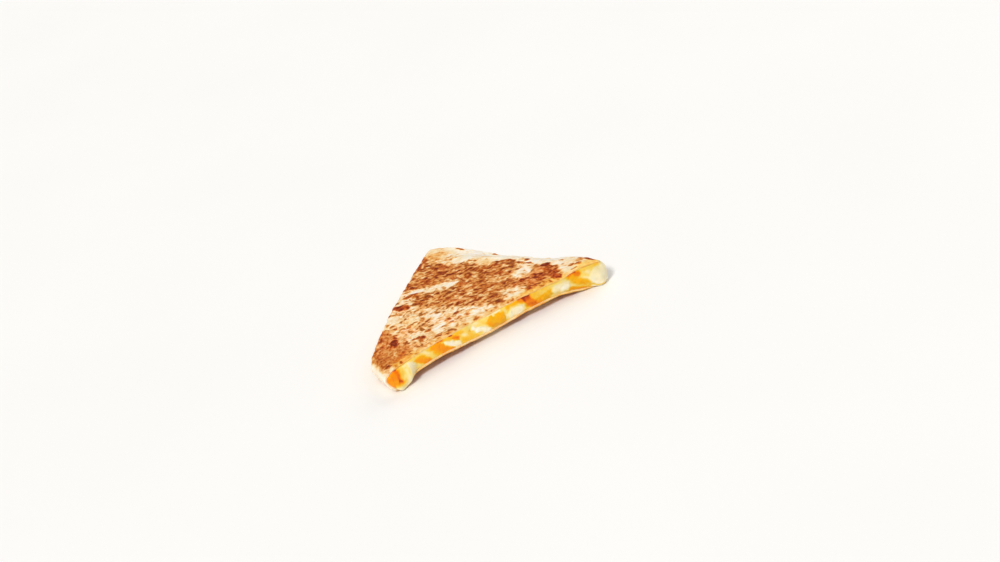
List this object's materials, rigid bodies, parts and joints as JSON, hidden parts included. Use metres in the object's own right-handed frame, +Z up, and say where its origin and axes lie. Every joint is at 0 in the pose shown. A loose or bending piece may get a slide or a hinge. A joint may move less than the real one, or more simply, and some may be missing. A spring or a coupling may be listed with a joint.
{
  "type": "quesadilla wedge",
  "caption": "Toasted wedge of folded flour tortilla with melted yellow and white cheese between its layers.",
  "frame": {"origin": "centre of the wedge's bounding box, on the surface it lies on", "axes": "+X along the long front cut from the folded tip to the tortilla's rim, +Y into the wedge from the front cut, +Z up through the layers"},
  "size_m": [0.1356, 0.1008, 0.0153],
  "materials": {
    "tortilla": "toasted flour tortilla, cream with red-brown griddle marks",
    "yellow_cheese": "melted yellow-orange cheese, soft gloss",
    "white_cheese": "melted cream-white cheese, soft gloss"
  },
  "bodies": {
    "root": {"tortilla": "tortilla", "yellow_cheese": "yellow_cheese", "white_cheese": "white_cheese"}
  },
  "joints": []
}
